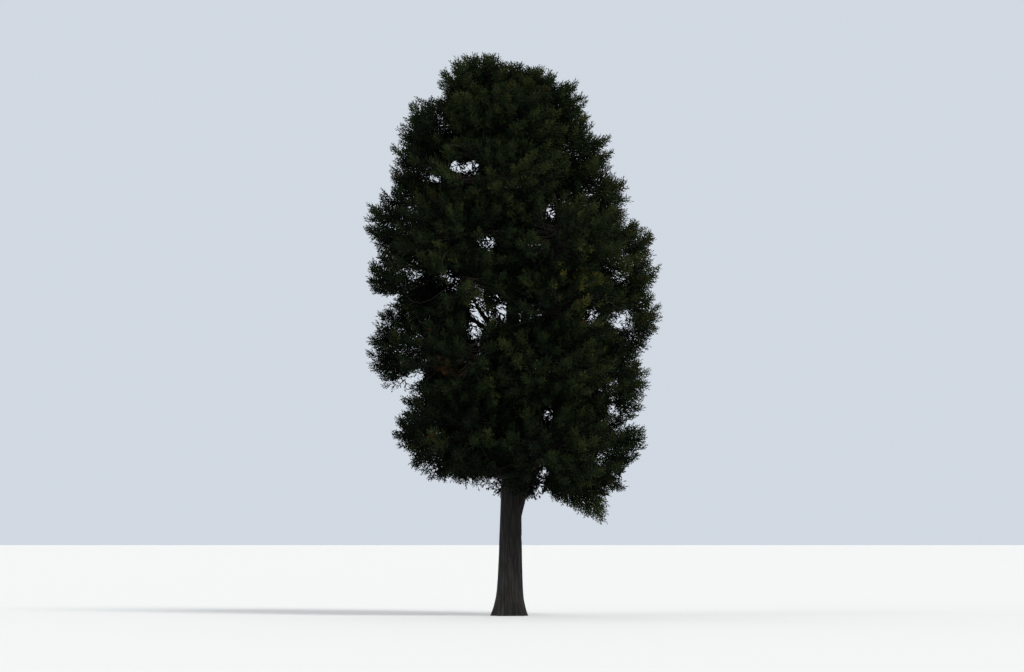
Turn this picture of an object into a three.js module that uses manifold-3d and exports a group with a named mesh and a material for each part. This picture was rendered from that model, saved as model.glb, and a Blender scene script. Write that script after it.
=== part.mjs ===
// A broad, round-headed Mediterranean cypress, rooted in the ground.
//
// Units are millimetres and +Z is up. The origin is the middle of the flat cut at ground level, under
// the trunk. +X is the viewer's right and -Y is towards the viewer. Azimuths are counted from +X
// towards +Y, in degrees.
//
// One trunk runs from its root flare up through the crown. Boughs leave it and rise outwards, and each
// ends where it meets the stem of one mass of foliage. The masses stand in seven tiers. Each mass is a
// stem and its twigs, a dense core, and toothed sprays of scale leaves that stand out of the core. It
// keeps to a space of its own: a rounded lump, cut by the planes that it shares with its neighbours.

import * as THREE from 'three';
import { mergeVertices } from 'three/addons/utils/BufferGeometryUtils.js';
import Module from 'manifold-3d';

const wasm = await Module();
wasm.setup();

// Driving sizes of the trunk
const TRUNK = {
  height: 10900,
  radius: 262, // above the root flare
  tipRadius: 34,
  taperPower: 1.15,
  flare: 105, // how much wider the foot is
  flareHeight: 380, // over which the flare dies away to a third
  flareLobes: 5,
  flareLobeDepth: 0.16,
  flareTurn: 0.6, // where the first lobe stands, in radians
  bowRight: 42, // how far the middle bends to the right
  bowBack: 70, // how far it bends back, and then forwards above
  bowWaves: 0.85, // of that bend, over the whole height
  lean: 60, // how far the tip stands off the foot
  sides: 14,
  rings: 13,
  crowding: 1.6, // draws the rings together towards the foot
  samples: 120, // points for measuring how near it is
};

// Tiers of foliage, lowest first. height is that of the masses' middles, and lift is added on the right
// and taken off on the left. right, left and depth are how far the tips reach from the trunk. across,
// thick and tall are a mass's half sizes round the trunk, away from it and upwards. first is the
// azimuth of the first mass. Where bough is given, each mass stands on a bough with that base radius.
const TIERS = [
  { name: 'skirt', height: 3760, lift: -150, count: 6, first: 0, right: 2860, left: 2420, depth: 2620,
    across: 1360, thick: 1260, tall: 1040, bough: 84 },
  { name: 'low', height: 5340, lift: -340, count: 6, first: 0, right: 2960, left: 2980, depth: 2880,
    across: 1450, thick: 1260, tall: 980, bough: 80 },
  { name: 'waist', height: 6780, lift: -460, count: 6, first: 0, right: 3180, left: 3020, depth: 3040,
    across: 1470, thick: 1280, tall: 890, bough: 74 },
  { name: 'broad', height: 7950, lift: -440, count: 6, first: 0, right: 3160, left: 3060, depth: 3000,
    across: 1450, thick: 1280, tall: 990, bough: 68 },
  { name: 'shoulder', height: 9230, lift: -320, count: 4, first: 0, right: 2560, left: 2540, depth: 2620,
    across: 1600, thick: 1210, tall: 940 },
  { name: 'head', height: 10120, lift: -220, count: 4, first: 0, right: 2140, left: 2300, depth: 2100,
    across: 1420, thick: 1130, tall: 860 },
  { name: 'top', height: 10850, lift: -210, count: 3, first: -34, right: 1670, left: 1620, depth: 1500,
    across: 1120, thick: 1030, tall: 880 },
];

const BOUGH = {
  rise: 0.62, // how far it climbs for each unit of its run
  overrun: 500, // added to its mass's reach to give that run
  lowest: 2480, // the lowest place where one leaves the trunk
  scatter: 190, // how far the lowest ones start above that, at most
  tipRadius: 27,
  share: 0.46, // of the trunk's radius there, which its own radius never passes
  flatness: 0.55, // a start flatter than the straight line, which then turns upwards
  bendAt: 0.4, // where it turns, as a share of the way to the middle of its mass
  depth: 0.86, // how far from that middle it ends, as a share of the mass's smaller half size
  taper: 0.8, // under 1 it thins quickest near the trunk
  crowded: 400, // boughs that start nearer than this are cut clear of each other
  sides: 6,
  rings: 3,
  samples: 16, // points for measuring how near it is
};

// The lowest bough leaves the trunk steeply, as the fork on its right side.
const FORK = { mass: 0, start: 1600, bendX: 380, bendZ: 3200, radius: 130 };

const MASS = {
  square: 2.5, // 2 makes its space an ellipsoid, and more fills out the corners
  core: 0.77, // the core's share of the whole space
  coreLump: 0.08, // depth of the core's lumps, as a share of its radius
  lumpWaves: [4.1, 4.7, 5.3], // how close the lumps stand, along each axis
  coreSides: 9,
  coreRings: 6,
  stemBase: 22, // radius of the stem where it meets its bough or the trunk
  stemTip: 12,
  stemSides: 4,
  stemRings: 4,
  stemFrom: 0.985, // where it leaves its bough's curve, as a share of that curve
  stemBend: 0.35, // a point between there and the middle of the mass
  stemBranch: 0.7, // that point on a stem from the trunk, as a share of its curve
  stemOut: 0.18, // the stem's top, from the middle, as shares of the half sizes
  stemUp: 0.55,
  twigRadius: 9,
  twigFrom: 0.45, // the lowest twig's place on the stem, and the highest's
  twigTo: 0.9,
  sprays: 23, // on a whole ball: those facing the trunk or a neighbour are left out
  inward: -0.2, // how far a spray may face the trunk, as a cosine
  wander: 12, // degrees of azimuth that a mass may stand off its even place
  heave: 170, // how far masses stand above or below their even place, in turn
  heaveVary: 0.4, // how much that differs from mass to mass, as a share
  swell: 0.07, // how much larger or smaller than its tier's size, as a share
  apart: 1.25, // masses further apart than this share of their reaches share no wall
};

const SPRAY = {
  length: 760,
  lengthVary: 0.15,
  width: 700,
  thickness: 320,
  belly: 0.55, // where it is thickest, as a share of the length
  waist: 0.2, // half the width of the notches beside the middle tooth, as a share of the width
  grip: 0.3, // how far up it its twig ends, as a share of the length
  spill: 60, // how far its tip passes the edge of the mass
  uplift: 0.35, // how strongly a spray turns upwards
  tooth: 0.68, // where the side teeth end, as a share of the length
  cramped: 0.88, // with less room than this share of the mass's reach there is none
};

// Drooping tips under the right side of the skirt, each longer than the one before
const DROOPS = { mass: 0, count: 4, depth: -250, top: 3300, fromX: 950, toX: 1900, fromZ: 2460, toZ: 1980 };

// Sky shows through the crown at these places, for a viewer at that distance and eye height
const VIEWER = { distance: 100000, eye: 1600 };
const GAP_DEPTH = 3400; // of each gap on each side of the trunk, past the crown
const SKY_GAPS = [
  { x: -980, z: 9580, wide: 640, high: 280 },
  { x: 850, z: 8560, wide: 260, high: 340 },
  { x: -1200, z: 7240, wide: 400, high: 300 },
  { x: -2060, z: 7360, wide: 240, high: 480 },
  { x: -690, z: 6300, wide: 320, high: 780 },
  { x: -220, z: 6420, wide: 260, high: 360 },
  { x: 1740, z: 6420, wide: 240, high: 360 },
  { x: 2440, z: 6290, wide: 420, high: 400 },
  { x: 2280, z: 4330, wide: 440, high: 240 },
  { x: -2110, z: 5040, wide: 520, high: 240 },
  { x: 800, z: 4220, wide: 300, high: 220 },
  { x: 700, z: 3000, wide: 280, high: 360 },
];

const CLEAR = 0.3; // between faces that meet
const SKIN = 12; // between a mass and a limb that runs past it
const SEAM = 14; // between the spaces of two masses
const NEAR = 4200; // masses further apart than this never meet each other's limbs

const UP = new THREE.Vector3(0, 0, 1);
const GOLDEN = Math.PI * (3 - Math.sqrt(5));
const rad = THREE.MathUtils.degToRad;
const mix = THREE.MathUtils.lerp;

// Rows of chance numbers, so that no two uses share one. Masses and tiers are counted on from these.
const ROW = { azimuth: 0, heave: 20, swell: 30, start: 40, length: 60, roll: 100, turn: 140 };

// A number from 0 to 1 that is always the same for the same pair of counts.
function chance(a, b) {
  const s = Math.sin(a * 127.1 + b * 311.7) * 43758.5453;
  return s - Math.floor(s);
}

// A three.js geometry as a closed solid, for joins and cuts.
function solid(geometry) {
  const bare = geometry.clone();
  bare.deleteAttribute('normal');
  bare.deleteAttribute('uv');
  const merged = mergeVertices(bare, 1e-3);
  return new wasm.Manifold(new wasm.Mesh({
    numProp: 3,
    vertProperties: new Float32Array(merged.attributes.position.array),
    triVerts: new Uint32Array(merged.index.array),
  }));
}

// A solid as a three.js geometry.
function geometryOf(made) {
  const mesh = made.getMesh();
  const geometry = new THREE.BufferGeometry();
  geometry.setAttribute('position', new THREE.BufferAttribute(mesh.vertProperties, 3));
  geometry.setIndex(new THREE.BufferAttribute(mesh.triVerts, 1));
  geometry.computeVertexNormals();
  return geometry;
}

// The largest of a solid's separate bodies.
function largest(made) {
  return made.decompose().reduce((a, b) => (b.volume() > a.volume() ? b : a));
}

// A solid with its loose scraps dropped, also those that hang on by less than a mesh can hold.
function whole(made) {
  return largest(solid(geometryOf(largest(made))));
}

// A round limb along a curve. radiusAt(t, angle) is its radius, and spread moves the rings along it.
function limb(curve, radiusAt, sides, rings, spread = 1) {
  const geometry = new THREE.CylinderGeometry(1, 1, 1, sides, rings);
  const place = geometry.attributes.position;
  const point = new THREE.Vector3();
  for (let i = 0; i < place.count; i++) {
    point.fromBufferAttribute(place, i);
    const t = Math.pow(THREE.MathUtils.clamp(point.y + 0.5, 0, 1), spread);
    const along = curve.getTangent(t);
    const side = new THREE.Vector3(0, 1, 0).cross(along).normalize();
    const front = along.clone().cross(side);
    const angle = Math.atan2(point.z, point.x);
    const out = Math.hypot(point.x, point.z) * radiusAt(t, angle);
    // The cylinder's own axes turn the other way round, so its x goes to front and its z to side.
    point.copy(curve.getPoint(t))
      .addScaledVector(front, out * Math.cos(angle))
      .addScaledVector(side, out * Math.sin(angle));
    place.setXYZ(i, point.x, point.y, point.z);
  }
  return geometry;
}

// The trunk's middle at a height.
function trunkMiddle(z) {
  const t = z / TRUNK.height;
  return new THREE.Vector3(
    TRUNK.lean * t * t + TRUNK.bowRight * Math.sin(Math.PI * t),
    TRUNK.bowBack * Math.sin(TRUNK.bowWaves * 2 * Math.PI * t),
    z,
  );
}

function trunkRadius(z) {
  const t = THREE.MathUtils.clamp(z / TRUNK.height, 0, 1);
  return mix(TRUNK.radius, TRUNK.tipRadius, Math.pow(t, TRUNK.taperPower))
    + TRUNK.flare * Math.exp(-z / TRUNK.flareHeight);
}

class TrunkLine extends THREE.Curve {
  getPoint(t, target = new THREE.Vector3()) {
    return target.copy(trunkMiddle(t * TRUNK.height));
  }

  // Upright, so that the foot is cut level.
  getTangent() {
    return UP.clone();
  }
}

// The trunk, grown all round by a margin so that what meets it can be cut clear.
function trunkSolid(margin = 0) {
  const radiusAt = (t, angle) => {
    const z = t * TRUNK.height;
    const lobe = Math.cos(TRUNK.flareLobes * angle + TRUNK.flareTurn) * TRUNK.flareLobeDepth;
    return trunkRadius(z) * (1 + lobe * Math.exp(-z / TRUNK.flareHeight)) + margin;
  };
  return solid(limb(new TrunkLine(), radiusAt, TRUNK.sides, TRUNK.rings, TRUNK.crowding));
}

// How far the tips of a tier reach at an azimuth: a half ellipse on each side.
function tipReach(tier, azimuth) {
  const side = Math.cos(azimuth) > 0 ? tier.right : tier.left;
  return 1 / Math.hypot(Math.cos(azimuth) / side, Math.sin(azimuth) / tier.depth);
}

// Every mass: its middle, its three half axes, and where its stem starts.
function placeMasses() {
  const masses = [];
  TIERS.forEach((tier, row) => {
    for (let i = 0; i < tier.count; i++) {
      // Masses on the outline, to the left and right, stay where the tier says.
      const even = rad(tier.first + (360 * i) / tier.count);
      const free = Math.abs(Math.sin(even));
      const azimuth = even + free * rad(MASS.wander) * (2 * chance(row + ROW.azimuth, i) - 1);
      const out = new THREE.Vector3(Math.cos(azimuth), Math.sin(azimuth), 0);
      const swell = 1 + free * MASS.swell * (2 * chance(row + ROW.swell, i) - 1);
      const half = [tier.thick, tier.across, tier.tall].map((size) => size * swell);
      const reach = tipReach(tier, azimuth) - half[0];
      const turn = (row + i) % 2 ? -1 : 1;
      const heave = MASS.heave * (1 + MASS.heaveVary * (2 * chance(row + ROW.heave, i) - 1));
      const height = tier.height + tier.lift * Math.cos(azimuth) + free * turn * heave;
      const middle = out.clone().multiplyScalar(reach).setZ(height);
      const start = trunkMiddle(Math.max(BOUGH.lowest + BOUGH.scatter * chance(row + ROW.start, i),
        height - BOUGH.rise * (reach + BOUGH.overrun)));
      const bend = start.clone().lerp(middle, BOUGH.bendAt);
      bend.z = mix(bend.z, start.z, BOUGH.flatness);
      const forked = masses.length === FORK.mass;
      if (forked) {
        start.copy(trunkMiddle(FORK.start));
        bend.set(FORK.bendX, 0, FORK.bendZ);
      }
      const along = middle.clone().sub(bend).normalize();
      const entry = middle.clone().addScaledVector(along, -BOUGH.depth * Math.min(half[0], half[2]));
      masses.push({
        name: `${tier.name}_${i + 1}`, seed: masses.length, tier, middle, out, start, bend, entry,
        axes: [out, UP.clone().cross(out), UP], half,
        boughRadius: forked ? FORK.radius : Math.min(tier.bough, BOUGH.share * trunkRadius(start.z)),
      });
    }
  });
  return masses;
}

// The distance from a mass's middle to its rounded edge in a direction.
function reachIn(mass, direction) {
  const parts = mass.axes.map((axis, k) => (
    Math.pow(Math.abs(axis.dot(direction)) / mass.half[k], MASS.square)
  ));
  return Math.pow(parts[0] + parts[1] + parts[2], -1 / MASS.square);
}

// Each pair of near masses shares a plane, set between them by their sizes.
function shareSpace(masses) {
  masses.forEach((mass) => { mass.walls = []; });
  masses.forEach((a, i) => masses.slice(i + 1).forEach((b) => {
    const apart = b.middle.clone().sub(a.middle);
    const gap = apart.length();
    const normal = apart.divideScalar(gap);
    const ra = reachIn(a, normal);
    const rb = reachIn(b, normal);
    const at = (gap * ra) / (ra + rb);
    if (gap > MASS.apart * (ra + rb)) return;
    a.walls.push({ normal, limit: a.middle.dot(normal) + at - SEAM / 2 });
    b.walls.push({ normal: normal.clone().negate(), limit: -(a.middle.dot(normal) + at) - SEAM / 2 });
  }));
}

// How far a ray from a mass's middle may go before it meets one of the mass's walls.
function wallIn(mass, direction) {
  return Math.min(...mass.walls.map((wall) => {
    const slope = wall.normal.dot(direction);
    return slope > 1e-6 ? (wall.limit - wall.normal.dot(mass.middle)) / slope : Infinity;
  }));
}

// Where a point is seen, at the depth of the trunk, by the viewer.
function seenAt(point) {
  const scale = VIEWER.distance / (VIEWER.distance + point.y);
  return { x: point.x * scale, z: VIEWER.eye + (point.z - VIEWER.eye) * scale };
}

function inSkyGap(point) {
  const seen = seenAt(point);
  return SKY_GAPS.some((gap) => Math.hypot((seen.x - gap.x) / gap.wide, (seen.z - gap.z) / gap.high) < 0.5);
}

// A gap as a solid: a six-sided prism along the viewer's line of sight.
function gapSolid(gap) {
  const geometry = new THREE.CylinderGeometry(1, 1, 2 * GAP_DEPTH, 6);
  const place = geometry.attributes.position;
  for (let i = 0; i < place.count; i++) {
    const y = place.getY(i);
    const scale = (VIEWER.distance + y) / VIEWER.distance;
    const x = (gap.x + (place.getX(i) * gap.wide) / 2) * scale;
    const z = VIEWER.eye + (gap.z - VIEWER.eye + (place.getZ(i) * gap.high) / 2) * scale;
    place.setXYZ(i, x, y, z);
  }
  return solid(geometry);
}

// A bough's curve from inside the trunk to its mass, which it enters pointing at its middle.
function boughLine(mass) {
  return new THREE.QuadraticBezierCurve3(mass.start, mass.bend, mass.entry);
}

function boughRadius(mass, t) {
  return mix(mass.boughRadius, BOUGH.tipRadius, Math.pow(t, BOUGH.taper));
}

// A bough, grown all round and past its tip by a margin.
function boughSolid(mass, margin = 0) {
  const line = boughLine(mass);
  const radiusAt = (t) => boughRadius(mass, t) + margin;
  const geometry = limb(line, radiusAt, BOUGH.sides, BOUGH.rings);
  if (margin === 0) return solid(geometry);
  const place = geometry.attributes.position;
  const end = line.getTangent(1);
  const tip = line.getPoint(1);
  const point = new THREE.Vector3();
  for (let i = 0; i < place.count; i++) {
    point.fromBufferAttribute(place, i);
    if (Math.abs(point.clone().sub(tip).dot(end)) < 1e-3) point.addScaledVector(end, margin);
    place.setXYZ(i, point.x, point.y, point.z);
  }
  return solid(geometry);
}

// The stem of a mass, from its bough or the trunk, through its middle and up into its top.
function stemLine(mass) {
  const from = mass.tier.bough ? boughLine(mass).getPoint(MASS.stemFrom) : mass.start;
  const climb = mass.out.clone().multiplyScalar(MASS.stemOut * mass.half[0])
    .addScaledVector(UP, MASS.stemUp * mass.half[2]);
  const height = climb.length();
  climb.normalize();
  const top = mass.middle.clone()
    .addScaledVector(climb, Math.min(height, wallIn(mass, climb) - 3 * SEAM));
  const bend = mass.tier.bough
    ? mass.middle.clone().lerp(from, MASS.stemBend)
    : boughLine(mass).getPoint(MASS.stemBranch);
  return new THREE.CatmullRomCurve3([from, bend, mass.middle, top]);
}

function stemSolid(mass, margin = 0) {
  const radiusAt = (t) => mix(MASS.stemBase, MASS.stemTip, t) + margin;
  return solid(limb(stemLine(mass), radiusAt, MASS.stemSides, MASS.stemRings));
}

// The dense heart of a mass: a lumpy ball inside its space.
function coreSolid(mass) {
  const geometry = new THREE.SphereGeometry(1, MASS.coreSides, MASS.coreRings);
  geometry.rotateX(Math.PI / 2);
  const place = geometry.attributes.position;
  const direction = new THREE.Vector3();
  for (let i = 0; i < place.count; i++) {
    direction.fromBufferAttribute(place, i).normalize();
    const [wx, wy, wz] = MASS.lumpWaves;
    const lump = Math.sin(wx * direction.x + mass.seed) * Math.sin(wy * direction.y + 2 * mass.seed)
      + Math.cos(wz * direction.z + 3 * mass.seed) / 2;
    const size = Math.min(
      MASS.core * reachIn(mass, direction) * (1 + MASS.coreLump * lump),
      wallIn(mass, direction) - 3 * SEAM,
    );
    direction.multiplyScalar(size).add(mass.middle);
    place.setXYZ(i, direction.x, direction.y, direction.z);
  }
  return solid(geometry);
}

// A toothed blade: a spray of scale leaves with a long middle tooth and two short ones. The outline
// lies in the plane of along and aside, and the blade is thickest in its middle.
function sprayPoints(root, along, aside, length, width, thickness) {
  const face = along.clone().cross(aside).normalize();
  const { tooth, waist } = SPRAY;
  const outline = [[0, 0], [0.5, tooth], [waist, tooth], [0, 1], [-waist, tooth], [-0.5, tooth]];
  const points = outline.map(([w, l]) => root.clone()
    .addScaledVector(aside, w * width)
    .addScaledVector(along, l * length));
  const belly = root.clone().addScaledVector(along, SPRAY.belly * length);
  points.push(belly.clone().addScaledVector(face, thickness / 2));
  points.push(belly.clone().addScaledVector(face, -thickness / 2));
  return points;
}

function spraySolid(points) {
  const rim = points.length - 2;
  const index = [];
  for (let i = 0; i < rim; i++) {
    const next = (i + 1) % rim;
    index.push(i, next, rim + 1, next, i, rim);
  }
  const geometry = new THREE.BufferGeometry().setFromPoints(points);
  geometry.setIndex(index);
  const made = solid(geometry);
  return made.volume() > 0 ? made : solid(geometry.setIndex(index.reverse()));
}

// The places of a mass's sprays: even directions over a ball, from the golden angle.
function sprayDirections(mass) {
  const found = [];
  for (let i = 0; i < MASS.sprays; i++) {
    const z = 1 - (2 * i + 1) / MASS.sprays;
    const flat = Math.sqrt(1 - z * z);
    const turn = i * GOLDEN + 2 * Math.PI * chance(mass.seed + ROW.turn, 0);
    const direction = new THREE.Vector3(flat * Math.cos(turn), flat * Math.sin(turn), z);
    if (direction.dot(mass.out) > MASS.inward) found.push(direction);
  }
  return found;
}

function distanceToLine(point, samples) {
  return Math.min(...samples.map(({ at, radius }) => at.distanceTo(point) - radius));
}

// The foliage of a mass: its core, and twigs that carry sprays, in one solid.
function foliageSolid(mass, limbs, gaps) {
  const stem = stemLine(mass);
  let made = largest(gaps.reduce((rest, gap) => rest.subtract(gap), coreSolid(mass)));
  sprayDirections(mass).forEach((direction, i) => {
    const reach = reachIn(mass, direction);
    const room = Math.min(reach + SPRAY.spill, wallIn(mass, direction) - SEAM);
    const along = direction.clone().addScaledVector(UP, SPRAY.uplift).normalize();
    const length = SPRAY.length * (1 + SPRAY.lengthVary * (2 * chance(mass.seed + ROW.length, i) - 1));
    const tip = mass.middle.clone().addScaledVector(direction, room);
    const root = tip.clone().addScaledVector(along, -length);
    const aside = along.clone().cross(direction.clone().cross(UP)).normalize();
    aside.applyAxisAngle(along, Math.PI * chance(mass.seed + ROW.roll, i));
    const points = sprayPoints(root, along, aside, length, SPRAY.width, SPRAY.thickness);
    const kept = points.slice(1).every((point) => !inSkyGap(point)
      && limbs.every((line) => distanceToLine(point, line) > 2 * SKIN));
    if (!kept || room < SPRAY.cramped * reach) return;
    const twig = new THREE.LineCurve3(
      stem.getPoint(mix(MASS.twigFrom, MASS.twigTo, (direction.z + 1) / 2)),
      root.clone().addScaledVector(along, SPRAY.grip * length),
    );
    made = made.add(spraySolid(points)).add(solid(limb(twig, () => MASS.twigRadius, 3, 1)));
  });
  if (mass.seed === DROOPS.mass) made = made.add(droopSolid());
  return made;
}

// The drooping tips, as sprays that point down.
function droopSolid() {
  const blades = Array.from({ length: DROOPS.count }, (_, i) => {
    const t = i / (DROOPS.count - 1);
    const root = new THREE.Vector3(mix(DROOPS.fromX, DROOPS.toX, t), DROOPS.depth, DROOPS.top);
    const length = DROOPS.top - mix(DROOPS.fromZ, DROOPS.toZ, t);
    return spraySolid(sprayPoints(root, UP.clone().negate(), new THREE.Vector3(1, 0, 0), length,
      SPRAY.width, SPRAY.thickness));
  });
  return blades.reduce((a, b) => a.add(b));
}

// Samples along a limb, for measuring how near a point is to it.
function samplesOf(curve, radiusAt, count) {
  return Array.from({ length: count + 1 }, (_, i) => {
    const t = i / count;
    return { at: curve.getPoint(t), radius: radiusAt(t) };
  });
}

const bark = new THREE.MeshStandardMaterial({ color: 0x4a4038, roughness: 0.95, metalness: 0 });
const leaves = new THREE.MeshStandardMaterial({ color: 0x26351d, roughness: 0.85, metalness: 0 });

function addMesh(group, name, made, material) {
  const mesh = new THREE.Mesh(geometryOf(made), material);
  mesh.name = name;
  group.add(mesh);
}

function buildTree() {
  const tree = new THREE.Group();
  const masses = placeMasses();
  shareSpace(masses);
  const carried = masses.filter((mass) => mass.tier.bough);

  const trunkTouch = trunkSolid(CLEAR);
  const trunkNear = trunkSolid(SKIN);
  addMesh(tree, 'trunk', trunkSolid(), bark);

  const trunkLine = samplesOf(new TrunkLine(), (t) => trunkRadius(t * TRUNK.height), TRUNK.samples);
  const boughLines = carried.map((mass) => (
    samplesOf(boughLine(mass), (t) => boughRadius(mass, t), BOUGH.samples)
  ));
  carried.forEach((mass, i) => {
    // Boughs that leave the trunk side by side are cut clear of each other.
    const made = carried.slice(0, i).filter((other) => other.start.distanceTo(mass.start) < BOUGH.crowded)
      .reduce((rest, other) => rest.subtract(boughSolid(other, CLEAR)), boughSolid(mass));
    addMesh(tree, `bough_${mass.name}`, whole(made.subtract(trunkTouch)), bark);
  });

  const gaps = SKY_GAPS.map(gapSolid);
  masses.forEach((mass) => {
    let made = foliageSolid(mass, [trunkLine, ...boughLines], gaps);
    mass.walls.forEach((wall) => {
      made = made.trimByPlane(wall.normal.clone().negate().toArray(), -wall.limit);
    });
    masses.filter((other) => other !== mass && other.middle.distanceTo(mass.middle) < NEAR)
      .forEach((other) => {
        made = made.subtract(stemSolid(other, SKIN));
        if (other.tier.bough) made = made.subtract(boughSolid(other, SKIN));
      });
    made = made.subtract(trunkNear).add(stemSolid(mass)).subtract(trunkTouch);
    if (mass.tier.bough) made = made.subtract(boughSolid(mass, CLEAR));
    addMesh(tree, `foliage_${mass.name}`, whole(made), leaves);
  });
  return tree;
}

export default buildTree();
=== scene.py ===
import bpy
import numpy as np
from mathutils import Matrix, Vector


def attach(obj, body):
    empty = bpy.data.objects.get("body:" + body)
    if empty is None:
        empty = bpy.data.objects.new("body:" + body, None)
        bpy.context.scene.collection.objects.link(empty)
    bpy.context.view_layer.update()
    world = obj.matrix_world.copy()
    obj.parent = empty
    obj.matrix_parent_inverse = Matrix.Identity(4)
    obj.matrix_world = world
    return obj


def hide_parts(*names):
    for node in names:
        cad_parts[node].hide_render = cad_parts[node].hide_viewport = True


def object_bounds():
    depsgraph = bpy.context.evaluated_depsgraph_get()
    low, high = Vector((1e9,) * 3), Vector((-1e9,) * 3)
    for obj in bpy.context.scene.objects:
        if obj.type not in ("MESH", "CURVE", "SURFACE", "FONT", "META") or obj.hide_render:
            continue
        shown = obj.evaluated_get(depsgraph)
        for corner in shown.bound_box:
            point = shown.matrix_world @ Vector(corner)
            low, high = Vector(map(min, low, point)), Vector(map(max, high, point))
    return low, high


# A broad, round-headed Mediterranean cypress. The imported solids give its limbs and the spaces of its
# masses of foliage; here the same rule is written again in metres and carried on to finer twigs and
# sprays. x is the viewer's right, y is away from the viewer and z is up.
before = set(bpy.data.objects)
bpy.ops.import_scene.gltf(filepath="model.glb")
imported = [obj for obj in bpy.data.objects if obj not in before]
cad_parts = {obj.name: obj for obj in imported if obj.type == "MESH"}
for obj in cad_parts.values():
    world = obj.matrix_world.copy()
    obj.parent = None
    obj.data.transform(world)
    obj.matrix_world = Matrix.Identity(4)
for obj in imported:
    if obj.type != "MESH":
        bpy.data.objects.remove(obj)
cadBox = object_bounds()
up = np.array([0.0, 0.0, 1.0])
golden = np.pi * (3 - np.sqrt(5))
print("frame loaded:", len(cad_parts), "nodes")

# Driving sizes of the trunk
trunk = {
    "height": 10.9,
    "radius": 0.262,  # above the root flare
    "tipRadius": 0.034,
    "taperPower": 1.15,
    "flare": 0.105,  # added to the radius at the foot
    "flareHeight": 0.38,  # over which the flare dies away to a third
    "flareLobes": 5,
    "flareLobeDepth": 0.16,
    "flareTurn": 0.6,  # where the first lobe stands, in radians
    "bowRight": 0.042,  # how far the middle bends to the right
    "bowBack": 0.07,  # how far it bends back, and then forwards above
    "bowWaves": 0.85,  # of that bend, over the whole height
    "lean": 0.06,  # how far the tip stands off the foot
    "samples": 121,  # points along it, from which sprays keep off
}

# Tiers of masses, lowest first. height is that of the masses' middles, lift is added on the right and
# taken off on the left, and first is the first mass's azimuth, in degrees from the right towards the
# back. bough is the boughs' base radius, 0 where the trunk itself carries the masses. right, left and
# depth are reaches from the trunk; across, thick and tall are half sizes.
columns = "name height lift count first bough right left depth across thick tall".split()
tiers = [dict(zip(columns, row)) for row in [
    ["skirt", 3.76, -0.15, 6, 0, 0.084, 2.86, 2.42, 2.62, 1.36, 1.26, 1.04],
    ["low", 5.34, -0.34, 6, 0, 0.080, 2.96, 2.98, 2.88, 1.45, 1.26, 0.98],
    ["waist", 6.78, -0.46, 6, 0, 0.074, 3.18, 3.02, 3.04, 1.47, 1.28, 0.89],
    ["broad", 7.95, -0.44, 6, 0, 0.068, 3.16, 3.06, 3.00, 1.45, 1.28, 0.99],
    ["shoulder", 9.23, -0.32, 4, 0, 0, 2.56, 2.54, 2.62, 1.60, 1.21, 0.94],
    ["head", 10.12, -0.22, 4, 0, 0, 2.14, 2.30, 2.10, 1.42, 1.13, 0.86],
    ["top", 10.85, -0.21, 3, -34, 0, 1.67, 1.62, 1.50, 1.12, 1.03, 0.88],
]]

boughs = {
    "rise": 0.62,  # climb for each unit of run
    "overrun": 0.5,  # added to the run when the start's height is worked out
    "lowest": 2.48,  # none starts below this height
    "scatter": 0.19,  # how much that differs
    "tipRadius": 0.027,
    "share": 0.46,  # of the trunk's radius, which the base radius stays under
    "flatness": 0.55,  # how far the bend is drawn down to the start's height
    "bendAt": 0.4,  # the bend's place on the way to the mass's middle
    "depth": 0.86,  # how far short of that middle it ends, as a share of the mass's half size
    "taper": 0.8,  # power of the taper
    "samples": 17,
}
# One mass stands on a fork of the trunk
fork = {"mass": "skirt_1", "start": 1.6, "bendX": 0.38, "bendZ": 3.2, "radius": 0.13}

masses = {
    "square": 2.5,  # power of the rounded space: 2 is an ellipsoid
    "wander": 12,  # degrees that one at the front or back may stray from its even place
    "heave": 0.17,  # how far alternate ones there rise or sink
    "heaveVary": 0.4,  # how much that differs from mass to mass, as a share
    "swell": 0.07,  # how much larger or smaller than its tier's size, as a share
    "apart": 1.25,  # masses further apart than this share of their reaches share no wall
    "seam": 0.014,  # between the spaces of two masses
    "inward": -0.2,  # in the source no branch faces the trunk by more than this cosine
    "stemBase": 0.022,
    "stemTip": 0.012,
    "stemFrom": 0.985,  # where on its bough a stem starts
    "stemBend": 0.35,  # where it bends, on the way from the mass's middle to its root
    "stemBranch": 0.7,  # where it bends if it leaves the trunk itself
    "stemOut": 0.18,  # how far it goes on outwards past the middle, in half sizes
    "stemUp": 0.55,  # the same upwards
    "twigFrom": 0.45,  # where the lowest branches leave the stem
    "twigTo": 0.9,  # where the highest ones do
    "uplift": 0.35,  # how strongly plumes turn upwards
}
# Height of the crown's middle, and how far the crown goes above and below it
crown = {"middle": 7.2, "above": 4.75, "below": 6.4}
rows = {"azimuth": 0, "heave": 20, "swell": 30, "start": 40, "turn": 140}  # rows of chance numbers

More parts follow.
